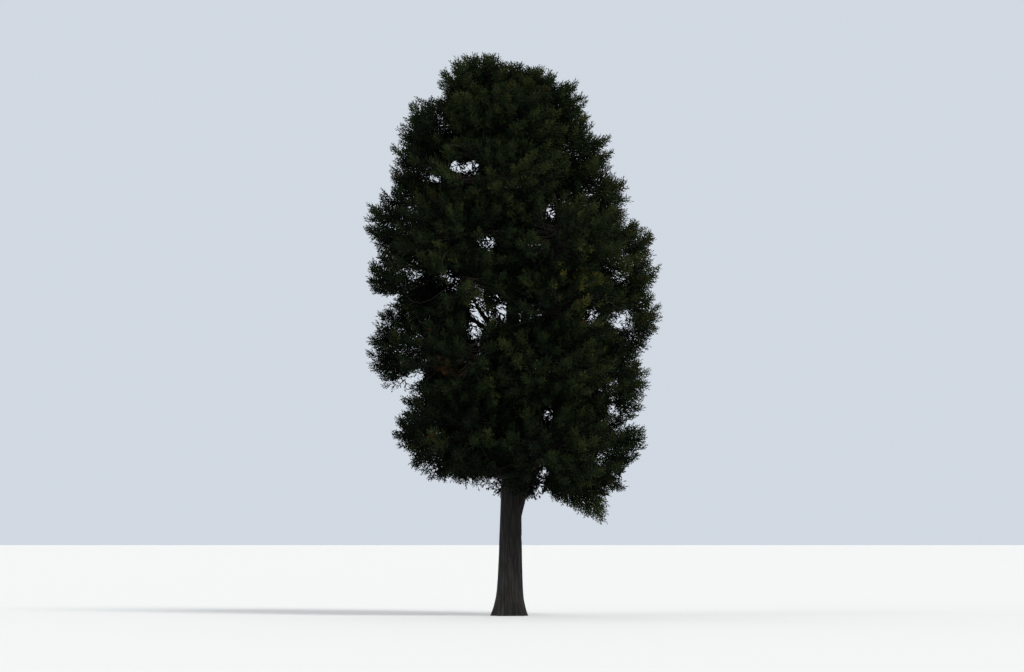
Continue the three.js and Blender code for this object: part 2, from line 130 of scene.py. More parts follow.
# Sky shows through here for a viewer at this distance and eye height. A row gives a gap's middle x and
# z, its width and height, and the share of sprays that still cross it as a veil.
viewer = {"distance": 100.0, "eye": 1.6}
skyGaps = np.array([
    [-1.14, 9.60, 0.33, 0.28, 0.07], [-0.84, 9.56, 0.33, 0.31, 0.10], [-1.56, 9.30, 0.30, 0.18, 0.25],
    [0.85, 8.55, 0.28, 0.38, 0.06], [-0.52, 7.93, 0.46, 0.26, 0.30], [-2.06, 7.36, 0.25, 0.50, 0.42],
    [-1.20, 7.24, 0.42, 0.32, 0.15], [-1.24, 6.93, 0.28, 0.18, 0.18], [-0.68, 6.48, 0.26, 0.50, 0.09],
    [-0.75, 6.08, 0.34, 0.34, 0.64], [-0.22, 6.41, 0.20, 0.38, 0.60], [-0.25, 6.76, 0.22, 0.18, 0.25],
    [1.74, 6.42, 0.25, 0.37, 0.30], [2.48, 6.30, 0.32, 0.40, 0.45], [2.19, 4.37, 0.28, 0.22, 0.19],
    [2.50, 4.30, 0.36, 0.08, 0.80], [-2.00, 5.08, 0.44, 0.30, 0.18], [-2.32, 4.93, 0.50, 0.16, 0.32],
    [0.80, 4.22, 0.28, 0.22, 0.28], [0.70, 3.00, 0.26, 0.34, 0.35], [0.60, 2.62, 0.18, 0.26, 0.50],
    [-1.62, 3.14, 0.36, 0.14, 0.60],
])
# Bays in the outline, given the same way, where the crown's edge draws in
bays = np.array([
    [2.72, 2.98, 0.52, 0.50, 0.10], [2.84, 3.24, 0.34, 0.34, 0.10], [-2.74, 6.71, 0.52, 0.22, 0.15],
    [-0.02, 11.93, 0.50, 0.18, 0.10], [2.00, 10.50, 0.32, 0.46, 0.10], [1.20, 11.52, 0.34, 0.28, 0.10],
    [-1.76, 11.15, 0.66, 0.24, 0.10], [-3.02, 8.96, 0.52, 0.34, 0.10], [2.36, 9.50, 0.40, 0.32, 0.10],
    [3.18, 7.62, 0.26, 0.30, 0.10], [-3.00, 7.80, 0.30, 0.26, 0.10], [-2.40, 3.32, 0.50, 0.36, 0.10],
    [-2.98, 6.12, 0.30, 0.20, 0.10], [-2.66, 9.20, 0.30, 0.26, 0.10], [-2.28, 10.86, 0.24, 0.44, 0.10],
    [3.12, 5.80, 0.26, 0.24, 0.10], [2.58, 2.84, 0.36, 0.36, 0.10],
])
openings = np.concatenate([skyGaps, bays])
gapRim = {"least": 0.72, "most": 1.15}  # a gap's size for a point of no luck and of full luck

# Large multiples, which scatter the values of a sine
scramble = {"first": 127.1, "second": 311.7, "third": 74.7, "seed": 53.3, "whole": 43758.5453}


def chance(a, b):
    # the fraction left of a large multiple of a sine: always the same for the same pair of counts
    angle = np.asarray(a) * scramble["first"] + np.asarray(b) * scramble["second"]
    s = np.sin(angle) * scramble["whole"]
    return s - np.floor(s)


def mix(a, b, t):
    return a + (b - a) * t


def unit(v):
    return v / np.linalg.norm(v, axis=-1, keepdims=True)


def trunkMiddle(z):
    # a lean that grows with the square of the height, a bow to the right and a slow wave back and forth
    t = np.asarray(z, float) / trunk["height"]
    x = trunk["lean"] * t * t + trunk["bowRight"] * np.sin(np.pi * t)
    y = trunk["bowBack"] * np.sin(trunk["bowWaves"] * 2 * np.pi * t)
    return np.stack([x, y, np.asarray(z, float) + 0 * t], -1)


def trunkRadius(z):
    # a power taper from foot to tip, plus a root flare that dies away with height
    t = np.clip(z / trunk["height"], 0, 1)
    return (mix(trunk["radius"], trunk["tipRadius"], t ** trunk["taperPower"])
            + trunk["flare"] * np.exp(-z / trunk["flareHeight"]))


def quadratic(a, b, c, t):
    # a curve from a to c that starts and ends pointing at b
    return (1 - t) ** 2 * a + 2 * t * (1 - t) * b + t ** 2 * c


def tipReach(tier, azimuth):
    # how far a tier's tips stand from the trunk: half an ellipse on each side
    side = np.where(np.cos(azimuth) > 0, tier["right"], tier["left"])
    return 1 / np.hypot(np.cos(azimuth) / side, np.sin(azimuth) / tier["depth"])


def placeMasses():
    # the source's rule: masses stand evenly round the trunk, and those at front and back stray from it
    placed = []
    for row, tier in enumerate(tiers):
        for i in range(tier["count"]):
            name = tier["name"] + "_" + str(i + 1)
            even = np.radians(tier["first"] + 360 * i / tier["count"])
            free = abs(np.sin(even))
            stray = free * np.radians(masses["wander"]) * (2 * chance(row + rows["azimuth"], i) - 1)
            azimuth = even + stray
            out = np.array([np.cos(azimuth), np.sin(azimuth), 0])
            swell = 1 + free * masses["swell"] * (2 * chance(row + rows["swell"], i) - 1)
            half = np.array([tier["thick"], tier["across"], tier["tall"]]) * swell
            reach = tipReach(tier, azimuth) - half[0]
            turn = -1 if (row + i) % 2 else 1
            vary = 1 + masses["heaveVary"] * (2 * chance(row + rows["heave"], i) - 1)
            heave = masses["heave"] * vary
            height = tier["height"] + tier["lift"] * out[0] + free * turn * heave
            middle = out * reach + up * height
            lowest = boughs["lowest"] + boughs["scatter"] * chance(row + rows["start"], i)
            start = trunkMiddle(max(lowest, height - boughs["rise"] * (reach + boughs["overrun"])))
            bend = mix(start, middle, boughs["bendAt"])
            bend[2] = mix(bend[2], start[2], boughs["flatness"])
            radius = min(tier["bough"], boughs["share"] * trunkRadius(start[2]))
            if name == fork["mass"]:
                start = trunkMiddle(fork["start"])
                bend = np.array([fork["bendX"], 0, fork["bendZ"]])
                radius = fork["radius"]
            along = unit(middle - bend)
            entry = middle - along * boughs["depth"] * min(half[0], half[2])
            placed.append({
                "name": name, "seed": len(placed), "tier": tier, "out": out, "middle": middle,
                "half": half, "axes": np.array([out, np.cross(up, out), up]),
                "start": start, "bend": bend, "entry": entry, "radius": radius,
            })
    return placed


def reachIn(m, direction):
    # from a mass's middle to its rounded edge: the sizes along its axes, added as powers
    parts = (np.abs(direction @ m["axes"].T) / m["half"]) ** masses["square"]
    return parts.sum(-1) ** (-1 / masses["square"])


def fromMiddle(m, points):
    # how far points are from a mass's middle, and how far its rounded edge is that way
    q = points - m["middle"]
    far = np.linalg.norm(q, axis=-1)
    return far, reachIn(m, q / far[..., None])


def shareSpace(placed):
    # near masses share a plane, which stands between them as their reaches do
    for m in placed:
        m["normals"] = []
        m["limits"] = []
    for i, a in enumerate(placed):
        for b in placed[i + 1:]:
            apart = b["middle"] - a["middle"]
            gap = np.linalg.norm(apart)
            normal = apart / gap
            ra = reachIn(a, normal)
            rb = reachIn(b, normal)
            if gap > masses["apart"] * (ra + rb):
                continue
            at = a["middle"] @ normal + gap * ra / (ra + rb)
            a["normals"].append(normal)
            a["limits"].append(at - masses["seam"] / 2)
            b["normals"].append(-normal)
            b["limits"].append(-at - masses["seam"] / 2)
    for m in placed:
        m["normals"] = np.array(m["normals"])
        m["limits"] = np.array(m["limits"])


def wallIn(m, direction):
    # how far a ray from a mass's middle goes before it meets one of the mass's planes
    slope = direction @ m["normals"].T
    room = m["limits"] - m["normals"] @ m["middle"]
    return np.where(slope > 1e-6, room / np.maximum(slope, 1e-6), np.inf).min(-1)


def inSkyGap(points, luck, grow=1.0):
    # points are carried along the viewer's line of sight to the trunk's depth and held against each
    # ellipse, whose rim is uneven because it is larger for more luck; luck under its veil lets one stay
    scale = viewer["distance"] / (viewer["distance"] + points[..., 1])
    x = points[..., 0] * scale
    z = viewer["eye"] + (points[..., 2] - viewer["eye"]) * scale
    dx = (x[..., None] - openings[:, 0]) / openings[:, 2]
    dz = (z[..., None] - openings[:, 1]) / openings[:, 3]
    luck = luck[..., None]
    edge = 0.5 * grow * mix(gapRim["least"], gapRim["most"], luck)
    return ((np.hypot(dx, dz) < edge) & (luck > openings[:, 4])).any(-1)


def stemPoint(m, t):
    # a smooth curve through four points: each stretch leaves and meets them as its neighbours lie
    carried = m["tier"]["bough"] > 0
    root = quadratic(m["start"], m["bend"], m["entry"], masses["stemFrom"]) if carried else m["start"]
    knee = (mix(m["middle"], root, masses["stemBend"]) if carried
            else quadratic(m["start"], m["bend"], m["entry"], masses["stemBranch"]))
    climb = m["out"] * masses["stemOut"] * m["half"][0] + up * masses["stemUp"] * m["half"][2]
    height = np.linalg.norm(climb)
    climb = climb / height
    top = m["middle"] + climb * min(height, wallIn(m, climb[None])[0] - 3 * masses["seam"])
    knots = np.array([2 * root - knee, root, knee, m["middle"], top, 2 * top - m["middle"]])
    s = np.clip(np.asarray(t, float), 0, 0.99999) * 3  # three stretches, and no step past the last
    k = s.astype(int)
    u = (s - k)[..., None]
    a, b, c, d = knots[k], knots[k + 1], knots[k + 2], knots[k + 3]
    slope = (c - a) * u
    square = (2 * a - 5 * b + 4 * c - d) * u ** 2
    cube = (3 * b - a - 3 * c + d) * u ** 3
    return 0.5 * (2 * b + slope + square + cube)


def outwardShare(m, points):
    # how near a point is to the crown's outside: its reach from the trunk and its height from the
    # middle, both as shares of the furthest, added as fourth powers
    azimuth = np.arctan2(points[..., 1], points[..., 0])
    across = np.hypot(points[..., 0], points[..., 1]) / tipReach(m["tier"], azimuth)
    rise = points[..., 2] - crown["middle"]
    upright = np.abs(rise) / np.where(rise > 0, crown["above"], crown["below"])
    return (across ** 4 + upright ** 4) ** 0.25


def goldenBall(count, turn):
    # even directions over a ball: heights in equal steps, each turned on by the golden angle
    i = np.arange(count)
    z = 1 - (2 * i + 1) / count
    flat = np.sqrt(1 - z * z)
    angle = i * golden + turn
    return np.stack([flat * np.cos(angle), flat * np.sin(angle), z], -1)


def putMesh(name, points, faces, materials, which=None, smooth=False):
    # faces is a list of arrays of corner numbers, each array with one number of corners to a face
    mesh = bpy.data.meshes.new(name)
    loops = np.concatenate([f.ravel() for f in faces])
    sizes = np.concatenate([np.full(len(f), f.shape[1]) for f in faces])
    starts = np.concatenate([[0], np.cumsum(sizes)[:-1]])
    mesh.vertices.add(len(points))
    mesh.vertices.foreach_set("co", np.asarray(points, np.float32).ravel())
    mesh.loops.add(len(loops))
    mesh.loops.foreach_set("vertex_index", loops.astype(np.int32))
    mesh.polygons.add(len(sizes))
    mesh.polygons.foreach_set("loop_start", starts.astype(np.int32))
    if which is not None:
        mesh.polygons.foreach_set("material_index", which.astype(np.int32))
    mesh.polygons.foreach_set("use_smooth", np.full(len(sizes), smooth))
    for material in materials:
        mesh.materials.append(material)
    mesh.update(calc_edges=True)
    mesh.validate()
    piece = bpy.data.objects.new(name, mesh)
    bpy.context.scene.collection.objects.link(piece)
    print(name, int((sizes - 2).sum()), "triangles")
    return piece


def framesAlong(along, chord):
    # two directions square to each other and to along, kept from turning by one helper for each limb
    upright = np.abs(chord[..., 2:]) > 0.9
    helper = np.where(upright, [1.0, 0.0, 0.0], [0.0, 0.0, 1.0])
    side = unit(np.cross(helper, along))
    return side, np.cross(along, side)


def turned(side, front, angle):
    # the direction square to a limb that stands at this angle round it
    return np.cos(angle) * side + np.sin(angle) * front


def ringFaces(count, rings, sides):
    # quads between neighbouring rings of each limb, and a flat face on each end
    limb = np.arange(count)[:, None, None] * rings * sides
    ring = np.arange(rings - 1)[None, :, None] * sides
    k = np.arange(sides)[None, None, :]
    after = (k + 1) % sides
    a = limb + ring + k
    b = limb + ring + after
    quads = np.stack([a, b, b + sides, a + sides], -1).reshape(-1, 4)
    foot = (np.arange(count)[:, None] * rings * sides + np.arange(sides)[::-1])
    head = (np.arange(count)[:, None] * rings * sides + (rings - 1) * sides + np.arange(sides))
    return quads, np.concatenate([foot, head])


def tubes(a, b, c, thickA, thickC, sides, rings):
    # a round section carried along the quadratic curve of each limb, with a radius that goes from
    # thickA to thickC
    t = np.linspace(0, 1, rings)[None, :, None]
    line = quadratic(a[:, None], b[:, None], c[:, None], t)
    along = unit((1 - t) * (b - a)[:, None] + t * (c - b)[:, None] + 1e-9)
    side, front = framesAlong(along, np.repeat(unit(c - a)[:, None], rings, 1))
    radius = mix(thickA[:, None, None], thickC[:, None, None], t)[..., None]
    turn = np.linspace(0, 2 * np.pi, sides, endpoint=False)[None, None, :, None]
    points = line[:, :, None] + radius * turned(side[:, :, None], front[:, :, None], turn)
    return points.reshape(-1, 3), ringFaces(len(a), rings, sides)


def grain(place, seed):
    # smooth noise: chance numbers on the corners of unit cubes, blended between them
    cell = np.floor(place)
    f = place - cell
    f = f * f * (3 - 2 * f)
    total = 0
    for corner in np.ndindex(2, 2, 2):
        p = cell + corner
        angle = p[..., 0] * scramble["first"] + p[..., 1] * scramble["second"]
        angle = angle + p[..., 2] * scramble["third"] + seed * scramble["seed"]
        s = np.sin(angle) * scramble["whole"]
        weight = np.where(np.array(corner) == 1, f, 1 - f).prod(-1)
        total = total + weight * (s - np.floor(s))
    return total


# Bark: fibrous strips that run lengthwise with a slight twist, parted by narrow furrows
bark = {
    "around": 216,
    "rings": 430,
    "crowding": 1.9,  # draws the rings together towards the foot
    "twist": 0.24,  # radians for each metre of height
    "strips": 4.6,  # radius of the noise's circle: about six times as many strips stand round the limb
    "stretch": 1.5,  # cells of noise in a metre of height
    "fineness": 3,  # how many times finer the fibres are than the strips
    "swellings": [1.1, 1.1, 0.7],  # cells of the broad noise round and along the limb
    "furrow": 0.011,  # its depth
    "furrowWidth": 0.3,
    "furrowPower": 1.5,  # how sharp its floor is
    "fibre": 0.004,
    "swell": 0.012,
    "trunkSeed": 3,
    "trunkShare": (0.15, 1.3),  # least and most share of the relief, which goes with the limb's radius
    "boughShare": (0.1, 1),
    "boughAround": 20,
    "boughRings": 44,
    "boughApart": 7.0,  # moves the pattern on from one bough to the next
    "collar": 0.35,  # how much thicker a bough is at its base, as a share of its radius
    "collarLength": 1.2,  # over which that dies away to a third, in the same radii
    "sunk": 0.06,  # how far a bough starts inside the trunk
}


def barkRelief(angle, length, seed):
    # broad swellings, less furrows where the coarse noise crosses its middle value, plus fine fibres
    twisted = angle + bark["twist"] * length
    ring = np.stack([np.cos(twisted), np.sin(twisted), length], -1)
    cells = np.array([bark["strips"], bark["strips"], bark["stretch"]])
    coarse = grain(ring * cells, seed)
    fine = grain(ring * (bark["fineness"] * cells), seed + 1)
    broad = grain(ring * bark["swellings"], seed + 2)
    furrow = np.clip(1 - np.abs(2 * coarse - 1) / bark["furrowWidth"], 0, 1) ** bark["furrowPower"]
    relief = bark["swell"] * (broad - 0.5) - bark["furrow"] * furrow + bark["fibre"] * (fine - 0.5)
    return relief, ring


def addBarkPlace(piece, place):
    # the place along and round the limb, which the bark's pattern follows
    layer = piece.data.attributes.new("barkPlace", "FLOAT_VECTOR", "POINT")
    layer.data.foreach_set("vector", np.asarray(place, np.float32).ravel())


def nodeBy(tree, kind, **values):
    # a new node with its own settings, or else its sockets, set by name
    made = tree.nodes.new(kind)
    for key, value in values.items():
        if hasattr(made, key):
            setattr(made, key, value)
        else:
            made.inputs[key].default_value = value
    return made


# Dark furrows, grey-brown strips and paler worn edges, all running along the limb. Each colour is given
# with the value of the noise at which it stands.
barkLook = {
    "colours": [(0.2800, (0.002, 0.002, 0.002)), (0.4548, (0.007, 0.006, 0.005)),
                (0.5652, (0.016, 0.014, 0.013)), (0.7400, (0.040, 0.036, 0.035))],
    "stretch": (5, 5, 1.4),
    "strips": {"Scale": 1.6, "Detail": 7, "Roughness": 0.62},
    "fibres": {"Scale": 7, "Detail": 6, "Roughness": 0.7},
    "bump": {"Strength": 0.6, "Distance": 0.006},
    "roughness": 0.92,
    "gloss": 0.25,
}


def makeBark():
    material = bpy.data.materials.new("barkGreyBrown")
    material.use_nodes = True
    tree = material.node_tree
    shader = tree.nodes["Principled BSDF"]
    place = nodeBy(tree, "ShaderNodeAttribute", attribute_name="barkPlace")
    stretch = nodeBy(tree, "ShaderNodeMapping", Scale=barkLook["stretch"])
    tree.links.new(place.outputs["Vector"], stretch.inputs["Vector"])
    strips = nodeBy(tree, "ShaderNodeTexNoise", **barkLook["strips"])
    tree.links.new(stretch.outputs["Vector"], strips.inputs["Vector"])
    ramp = nodeBy(tree, "ShaderNodeValToRGB")
    stops = ramp.color_ramp.elements
    (first, firstColour), *between, (last, lastColour) = barkLook["colours"]
    stops[0].position = first
    stops[0].color = (*firstColour, 1)
    stops[1].position = last
    stops[1].color = (*lastColour, 1)
    for at, colour in between:
        stops.new(at).color = (*colour, 1)
    tree.links.new(strips.outputs["Fac"], ramp.inputs["Fac"])
    tree.links.new(ramp.outputs["Color"], shader.inputs["Base Color"])
    fibres = nodeBy(tree, "ShaderNodeTexNoise", **barkLook["fibres"])
    tree.links.new(stretch.outputs["Vector"], fibres.inputs["Vector"])
    bump = nodeBy(tree, "ShaderNodeBump", **barkLook["bump"])
    tree.links.new(fibres.outputs["Fac"], bump.inputs["Height"])
    tree.links.new(bump.outputs["Normal"], shader.inputs["Normal"])
    shader.inputs["Roughness"].default_value = barkLook["roughness"]
    shader.inputs["Specular IOR Level"].default_value = barkLook["gloss"]
    return material


def makePlain(name, look):
    # one plain colour; the foliage's painted light and shade, and its variety, come from the tints dealt
    # out to its sprays
    material = bpy.data.materials.new(name)
    material.use_nodes = True
    shader = material.node_tree.nodes["Principled BSDF"]
    shader.inputs["Base Color"].default_value = (*look["colour"], 1)
    shader.inputs["Roughness"].default_value = look["roughness"]
    shader.inputs["Specular IOR Level"].default_value = look["gloss"]
    return material


def makeTrunk(material):
    # rings of corners up the trunk's middle line, closer near the foot, and the lowest at ground level
    t = np.linspace(0, 1, bark["rings"]) ** bark["crowding"]
    turn = np.linspace(0, 2 * np.pi, bark["around"], endpoint=False)
    z, angle = np.meshgrid(t * trunk["height"], turn, indexing="ij")
    wave = trunk["flareLobes"] * (np.pi / 2 - angle) + trunk["flareTurn"]
    lobe = np.cos(wave) * trunk["flareLobeDepth"]
    radius = trunkRadius(z) * (1 + lobe * np.exp(-z / trunk["flareHeight"]))
    relief, place = barkRelief(angle, z, bark["trunkSeed"])
    radius = radius + relief * np.clip(radius / trunk["radius"], *bark["trunkShare"])
    middle = trunkMiddle(z)
    points = middle + np.stack([radius * np.cos(angle), radius * np.sin(angle), 0 * z], -1)
    quads, ends = ringFaces(1, bark["rings"], bark["around"])
    piece = putMesh("trunk_bark", points.reshape(-1, 3), [quads, ends], [material], smooth=True)
    addBarkPlace(piece, place)
    return piece


def makeBoughs(placed, material):
    # each bough is the source's curve, started inside the trunk, with the bark's relief on its surface
    points = []
    places = []
    carried = [m for m in placed if m["tier"]["bough"]]
    t = np.linspace(0, 1, bark["boughRings"])
    turn = np.linspace(0, 2 * np.pi, bark["boughAround"], endpoint=False)
    for m in carried:
        inside = m["start"] - unit(m["bend"] - m["start"]) * bark["sunk"]
        line = quadratic(inside, m["bend"], m["entry"], t[:, None])
        along = unit((1 - t[:, None]) * (m["bend"] - inside) + t[:, None] * (m["entry"] - m["bend"]))
        side, front = framesAlong(along, np.repeat(unit(m["entry"] - inside)[None], len(t), 0))
        length = np.concatenate([[0], np.cumsum(np.linalg.norm(np.diff(line, axis=0), axis=1))])
        radius = mix(m["radius"], boughs["tipRadius"], t ** boughs["taper"])
        collar = bark["collar"] * m["radius"] * np.exp(-length / (bark["collarLength"] * m["radius"]))
        angle, distance = np.meshgrid(turn, length)
        relief, place = barkRelief(angle, distance, m["seed"])
        share = np.clip(radius / trunk["radius"], *bark["boughShare"])
        thick = (radius + collar)[:, None] + relief * share[:, None]
        spin = turned(side[:, None], front[:, None], turn[:, None])
        points.append(line[:, None] + thick[..., None] * spin)
        places.append(place + [0, 0, bark["boughApart"] * m["seed"]])
    quads, ends = ringFaces(len(carried), bark["boughRings"], bark["boughAround"])
    piece = putMesh("boughs_bark", np.array(points).reshape(-1, 3), [quads, ends], [material],
                    smooth=True)
    addBarkPlace(piece, np.array(places))
    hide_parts(*["bough_" + m["name"] for m in carried])
    return piece


# Foliage: each mass's branches end in plumes, and each plume carries sprays of thread-like shoots
plume = {
    "seed": 2417,
    "branches": 150,  # on a whole ball
    "branchJitter": 0.05,
    "inward": -0.85,  # none faces the trunk by more than this; those past masses["inward"] are sparse
    "lobes": 40,  # plumes gather in lobes, counted on a whole ball
    "lobeJitter": 0.08,
    "lobeDepth": 0.15,  # how far the creases between lobes go in, as a share of the reach
    "lobeVary": 0.05,  # how much further in a whole lobe may stand
    "lobeSpread": 0.9,  # how much plumes lean away from their lobe's middle
    "length": 0.56,
    "lengthVary": 0.2,
    "lengthMost": 0.9,  # of the way from the mass's middle to the plume's tip
    "spill": 0.09,  # how far tips stand out of the space
    "overlap": 0.17,  # how far plumes reach across a shared plane
    "cramped": 0.86,  # a plume with less room than this share of the reach is pressed
    "deep": 0.60,  # and deep inside, if it stands under this share of the crown's reach
    "sprays": 26,  # on a plume in the open
    "from": -0.12,  # where the first and the last sprays stand, as shares of the plume's length
    "to": 0.86,
    "shuffle": 0.04,
    "innerEvery": 3,  # only each third spray on one that is deep inside
    "deepGrowth": 1.7,  # its sprays are this much larger
    "core": 0.5,  # sprays thin out from the shell's share of the reach to the core's
    "shell": 0.88,
    "coreShare": 0.32,
    "open": 64,  # degrees between a low spray and its plume's axis
    "close": 14,  # the same at the plume's tip
    "leanVary": 10,
    "lift": 0.12,  # how strongly sprays turn upwards
    "long": 0.28,
    "short": 0.17,
    "sprayVary": (0.85, 1.15),
    "shortest": 0.55,  # of a spray's length, where it is cut back at the mass's edge
    "tested": (0.0, 0.55, 1.0),  # shares of a spray's length at which it has to keep inside
    "footGrow": 0.8,  # size of a gap for a spray's foot
    "margin": 0.03,  # how far past the spill a spray may lie
    "clear": 0.025,  # between a spray and a limb's surface
    "knee": 0.15,  # how far past the plume's root a branch bends, as a share of its way there
    "branchEnd": 0.85,  # where on its plume a branch ends
    "branchTests": 10,
    "branchBase": 0.013,
    "branchTip": 0.004,
    "detours": (0, 0.3, -0.3, 0.6, -0.6, 1.0, -1.0),  # how far a branch's bend may rise or sink
    "fewest": 2,  # a branch with no more sprays than this is left out
}
# Plumes that hang under the right side of the lowest tier, each lower than the one before
droops = {
    "mass": "skirt_1", "count": 22, "length": 0.60,
    "fromX": 0.95, "toX": 1.97, "fromZ": 2.51, "toZ": 2.01,  # the row of tips
    "depth": -0.25, "spread": 0.34, "sway": 2.4,  # its y, how far tips sway from it, and by what angle
    "way": (0.12, 0, -1.0), "stray": 0.06,
    "origin": (-0.15, 0, 0.6),  # where the branch starts, from the plume's root
}
# Single plumes that fill the outline out, by the mass that carries them: the tip's place and its way
strays = {
    "skirt_1": [[2.36, 0, 4.20, 0.80, 0, 0.60], [2.84, 0, 3.70, 1, 0, 0]],
    "skirt_4": [[-2.43, 0.10, 3.84, -1, 0, 0.05], [-2.28, -0.10, 4.58, -0.90, 0, 0.40]],
    "skirt_5": [[-0.72, -0.80, 2.74, -0.25, 0, -0.95], [-0.50, -0.60, 2.76, -0.10, 0, -1],
                [-0.95, -0.70, 2.80, -0.35, 0, -0.90]],
    "low_1": [[2.93, 0, 4.86, 1, 0, -0.10]],
    "low_4": [[-2.92, 0, 5.24, -1, 0, -0.05], [-2.98, 0, 5.84, -1, 0, -0.10],
              [-2.78, 0, 6.40, -1, 0, 0.10]],
    "waist_1": [[3.02, 0, 6.82, 1, 0, 0.40]],
    "broad_1": [[2.86, 0.10, 8.24, 0.75, 0, 0.65], [2.70, -0.30, 8.34, 0.60, 0, 0.80],
                [3.12, 0, 7.24, 1, 0, 0.10], [2.40, -0.60, 7.42, 0.90, -0.3, 0.10],
                [2.20, -0.90, 7.30, 0.80, -0.5, 0]],
    "shoulder_1": [[1.90, -0.70, 9.02, 0.90, -0.3, 0.20], [1.86, 0.70, 8.96, 0.90, 0.3, 0.20],
                   [2.18, 0, 9.94, 0.80, 0, 0.50]],
    "head_1": [[1.62, 0, 10.98, 0.70, 0, 0.70]],
    "head_3": [[-2.36, 0, 10.34, -0.90, 0, 0.45]],
}
shoots = {
    "kinds": 6,
    "count": 7,
    "from": 0.06,  # where the first and the last leave the spine, as shares of its length
    "to": 0.82,
    "shuffle": 0.03,
    "open": 58,  # degrees between the first and the spine
    "close": 26,  # the same for the last
    "leanVary": 8,
    "long": 0.48,  # as shares of the spray's length
    "short": 0.20,
    "lengthVary": (0.85, 1.15),
    "width": 0.105,
    "spine": 0.07,
    "belly": (0.35, 0.55),  # where a shoot is widest, as a share of its length
    "fold": 0.5,  # how deep it is folded along its middle, as a share of its half width
    "tipFold": 0.5,  # how much of that lift its tip has
    "flatness": 0.5,
}

# Base colours, dealt out by spray: first six steps of one green from painted shade, darkest first, to
# painted sunlight, and then two that only a few sprays have
tints = {
    "leavesShade": (0.0028, 0.0048, 0.0026),
    "leavesShaded": (0.0046, 0.0084, 0.0038),
    "leavesHalfShade": (0.0072, 0.0130, 0.0050),
    "leavesHalfLit": (0.0114, 0.0194, 0.0066),
    "leavesLitOlive": (0.0192, 0.0262, 0.0078),
    "leavesSunlitTip": (0.0300, 0.0385, 0.0108),
    "leavesYellow": (0.0640, 0.0620, 0.0120),
    "leavesRust": (0.0480, 0.0210, 0.0080),
}
tintNames = list(tints)
tinting = {
    "steps": [0.05, 0.42, 0.78, 1.12, 1.42],  # scores at which the next lighter green of painted light begins
    "outer": 1.9,  # how strongly a tip far out in its mass is lightened, as painted light on the outside of the mass and painted shade further in
    "outerFrom": 0.62,
    "sunny": 0.55,  # how strongly a spray that points to the sun is
    "sunWay": (0.32, -0.18, 0.5),
    "high": 0.25 / 6,  # painted sunlight: how much a spray is lightened for each metre above highFrom
    "highFrom": 6.5,
    "right": 0.12 / 3,  # the same for each metre to the right, on the sun's side
    "vary": 0.28,
    "lobe": 0.24,  # how much whole lobes differ
    "rustShare": 0.004,  # of the sprays that are lighter than leavesShaded
}
# In these patches a share of the sprays in front is tinted anew, but tints up to spared stay
patches = [
    {"tint": "leavesYellow", "x": 1.5, "z": 7.1, "wide": 0.6, "high": 0.7, "spared": 2},
    {"tint": "leavesRust", "x": -1.45, "z": 5.25, "wide": 0.3, "high": 0.25, "spared": -1},
]
patchRule = {"front": -0.8, "share": 0.3}
leafLook = {"roughness": 0.7, "gloss": 0.05}
twigLook = {"colour": (0.030, 0.022, 0.018), "roughness": 0.9, "gloss": 0.2}


def sprayKind(random):
    # shoots stand up a spine, each turned on by the golden angle and flattened into a fan, and each is
    # a rhombus folded along its middle; columns are sideways, along and out of the fan
    n = shoots["count"]
    k = np.arange(n)
    share = k / (n - 1)
    at = mix(shoots["from"], shoots["to"], share)
    at = at + random.uniform(-shoots["shuffle"], shoots["shuffle"], n)
    angle = k * golden + random.uniform(0, 2 * np.pi)
    lean = mix(shoots["open"], shoots["close"], share)
    lean = np.radians(lean + random.uniform(-shoots["leanVary"], shoots["leanVary"], n))
    aside = np.stack([np.cos(angle), 0 * angle, shoots["flatness"] * np.sin(angle)], -1)
    way = unit(np.sin(lean)[:, None] * unit(aside) + np.cos(lean)[:, None] * np.array([0, 1.0, 0]))
    size = mix(shoots["long"], shoots["short"], share) * random.uniform(*shoots["lengthVary"], n)
    roots = np.stack([0 * at, at, 0 * at], -1)
    roots = np.concatenate([roots, [[0, 0, 0]]])
    way = np.concatenate([way, [[0, 1.0, 0]]])
    size = np.concatenate([size, [1.0]])
    half = np.concatenate([np.full(n, shoots["width"] / 2), [shoots["spine"] / 2]])
    across = unit(np.cross(way, unit(random.normal(size=(n + 1, 3)))))
    across[-1] = [1, 0, 0]
    lift = np.cross(across, way) * (shoots["fold"] * half)[:, None]
    belly = roots + way * (size * random.uniform(*shoots["belly"], n + 1))[:, None]
    tip = roots + way * size[:, None] + lift * shoots["tipFold"]
    left = belly - across * half[:, None] - lift
    right = belly + across * half[:, None] - lift
    corners = np.stack([roots, right, tip, left], 1).reshape(-1, 3)
    first = 4 * np.arange(n + 1)[:, None]
    return corners, np.concatenate([first + [0, 1, 2], first + [0, 2, 3]])


def limbSamples(placed):
    # points along the trunk and boughs, each with its radius there
    z = np.linspace(0, trunk["height"], trunk["samples"])
    at = [trunkMiddle(z)]
    radius = [trunkRadius(z)]
    t = np.linspace(0, 1, boughs["samples"])
    for m in placed:
        if m["tier"]["bough"]:
            at.append(quadratic(m["start"], m["bend"], m["entry"], t[:, None]))
            radius.append(mix(m["radius"], boughs["tipRadius"], t ** boughs["taper"]))
    return np.concatenate(at), np.concatenate(radius)


